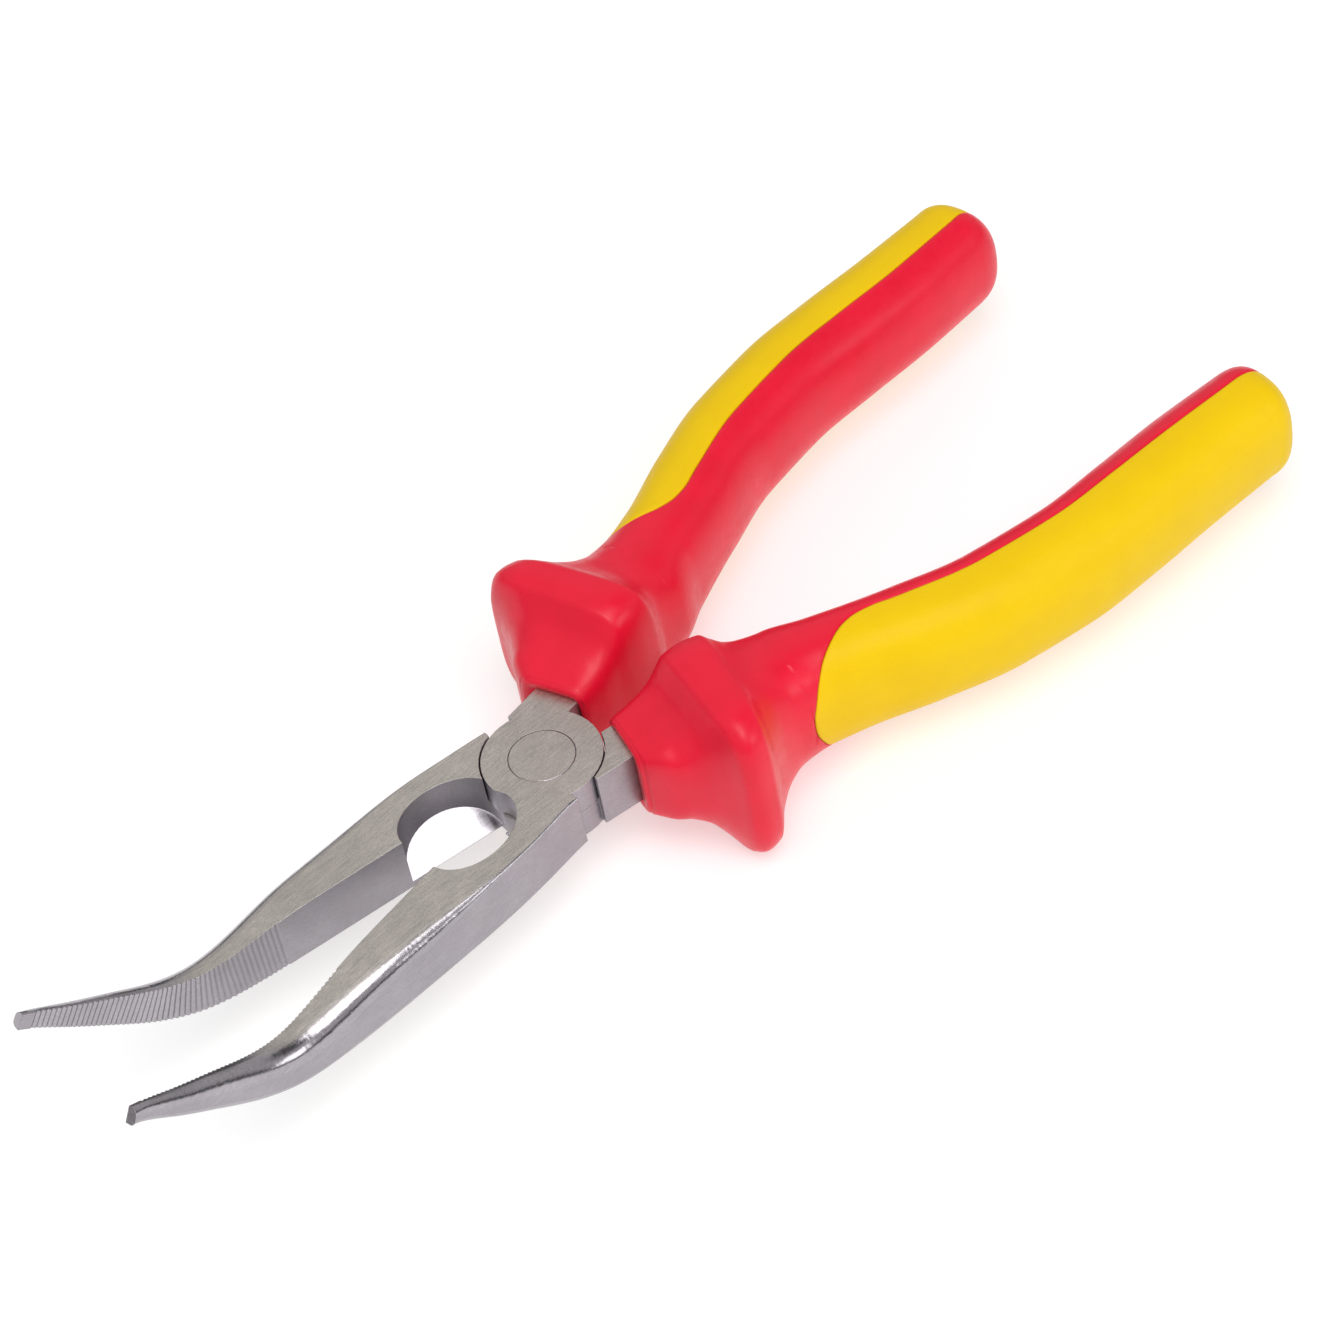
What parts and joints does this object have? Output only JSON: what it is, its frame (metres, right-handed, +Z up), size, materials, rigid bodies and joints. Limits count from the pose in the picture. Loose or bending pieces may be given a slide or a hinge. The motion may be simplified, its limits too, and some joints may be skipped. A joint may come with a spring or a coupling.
{
  "type": "needle nose pliers",
  "caption": "Bent long-nose pliers with side cutters, toothed tapering jaws, a riveted lap joint and two-colour insulated handles with finger guards.",
  "frame": {"origin": "on the pivot axis, half way through the joint's thickness", "axes": "+X towards the jaw tips, levers open across Y, +Z up out of the joint on the side that the jaw tips bend towards"},
  "size_m": [0.2017, 0.075, 0.0293],
  "materials": {
    "lever_steel": "satin ground, polished outer edges",
    "rivet_steel": "satin ground flush with the joint",
    "sleeve_plastic": "plain moulded, hidden",
    "red_plastic": "satin moulded",
    "yellow_plastic": "satin moulded"
  },
  "bodies": {
    "lever_a_body": {"lever_a": "lever_steel", "pivot_rivet": "rivet_steel", "inner_sleeve_a": "sleeve_plastic", "red_grip_a": "red_plastic", "yellow_grip_a": "yellow_plastic"},
    "lever_b_body": {"lever_b": "lever_steel", "inner_sleeve_b": "sleeve_plastic", "red_grip_b": "red_plastic", "yellow_grip_b": "yellow_plastic"}
  },
  "joints": [
    {"name": "pivot_hinge", "type": "hinge", "parent": "lever_a_body", "child": "lever_b_body", "pos_m": [0, 0, 0], "axis": [0, 0, 1], "range_deg": [-23.9, 16.1]}
  ]
}
